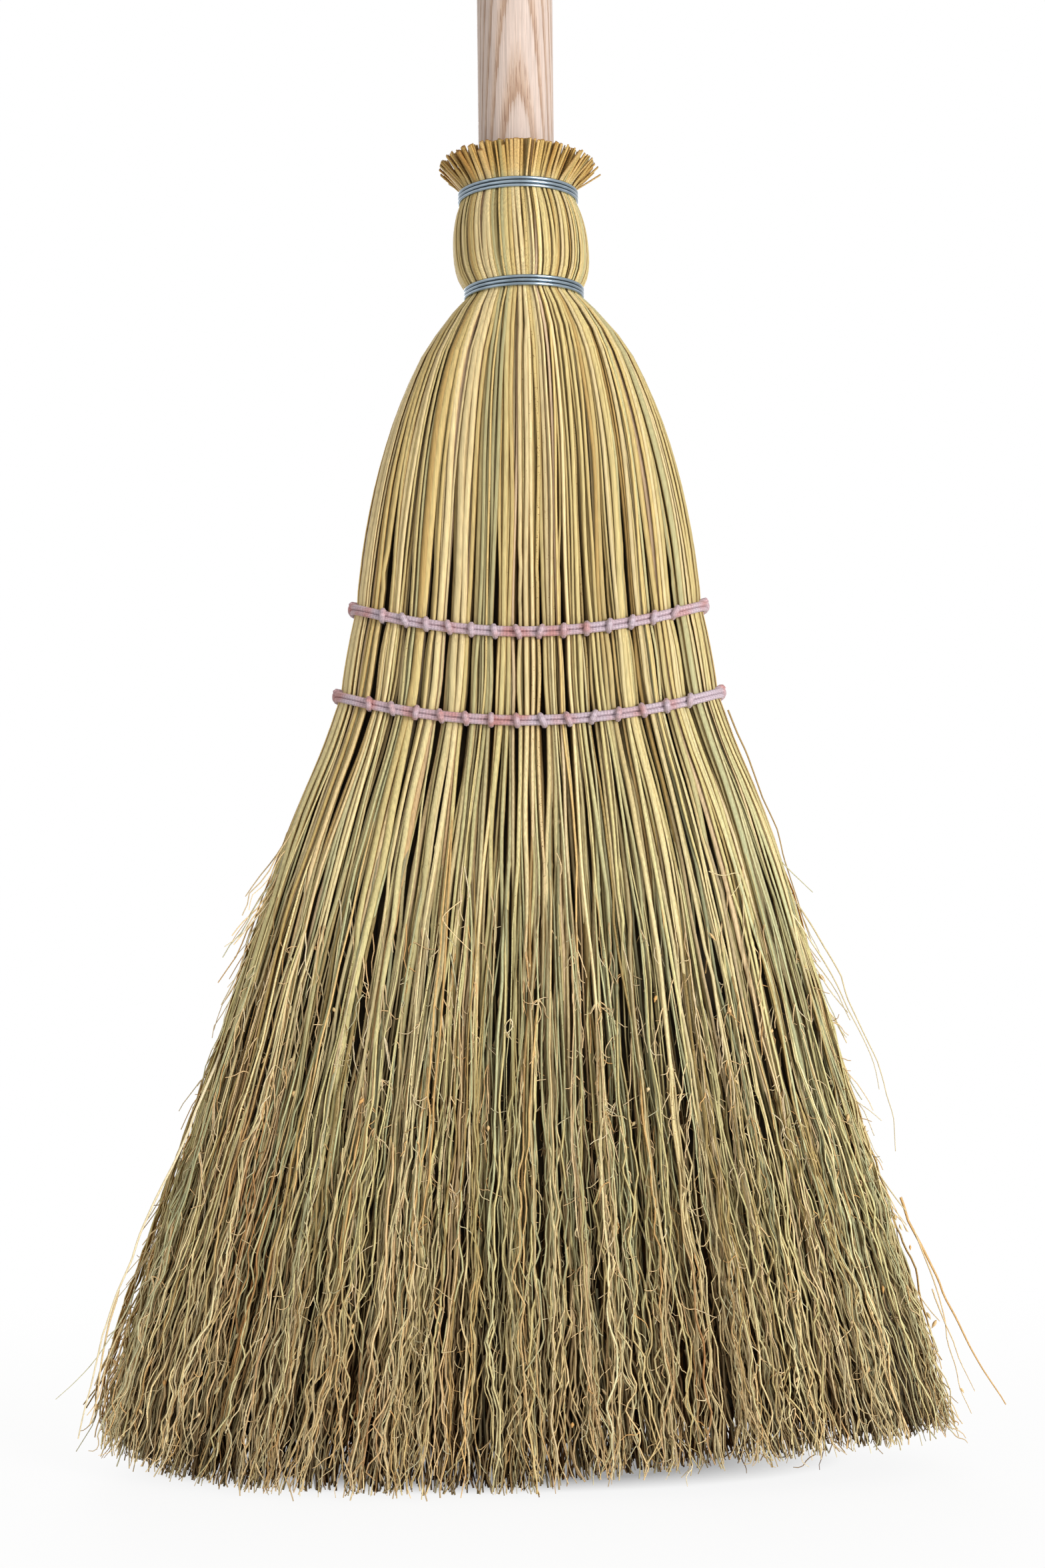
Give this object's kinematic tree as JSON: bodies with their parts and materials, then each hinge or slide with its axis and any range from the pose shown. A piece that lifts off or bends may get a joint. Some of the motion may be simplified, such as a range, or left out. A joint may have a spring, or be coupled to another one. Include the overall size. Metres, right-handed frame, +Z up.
{
  "type": "broom",
  "caption": "Flat broomcorn broom: a straight round wooden handle in a wire-bound neck of straw, sewn flat with twine and flared to a wide sweeping edge.",
  "frame": {"origin": "on the floor, below the handle's axis, at the middle of the sweeping edge", "axes": "+Z up along the handle, X along the wide sweeping edge, and -Y out of the face that the picture shows"},
  "size_m": [0.328, 0.104, 1.3997],
  "materials": {
    "ash_handle": "satin",
    "straw": "matte",
    "inner_straw": "matte",
    "galvanised_wire": "gloss",
    "nail": "satin",
    "waxed_twine": "satin"
  },
  "bodies": {
    "root": {"handle": "ash_handle", "inner_stalk_layer": "inner_straw", "inner_wire_binding": "galvanised_wire", "binding_nail": "nail", "bundle_01": "straw", "bundle_02": "straw", "bundle_03": "straw", "bundle_04": "straw", "bundle_05": "straw", "bundle_06": "straw", "bundle_07": "straw", "bundle_08": "straw", "bundle_09": "straw", "bundle_10": "straw", "bundle_11": "straw", "bundle_12": "straw", "bundle_13": "straw", "bundle_14": "straw", "bundle_15": "straw", "lower_wire_binding": "galvanised_wire", "upper_wire_binding": "galvanised_wire", "lower_row_band": "waxed_twine", "upper_row_band": "waxed_twine", "lower_row_stitching": "waxed_twine", "upper_row_stitching": "waxed_twine"}
  },
  "joints": []
}
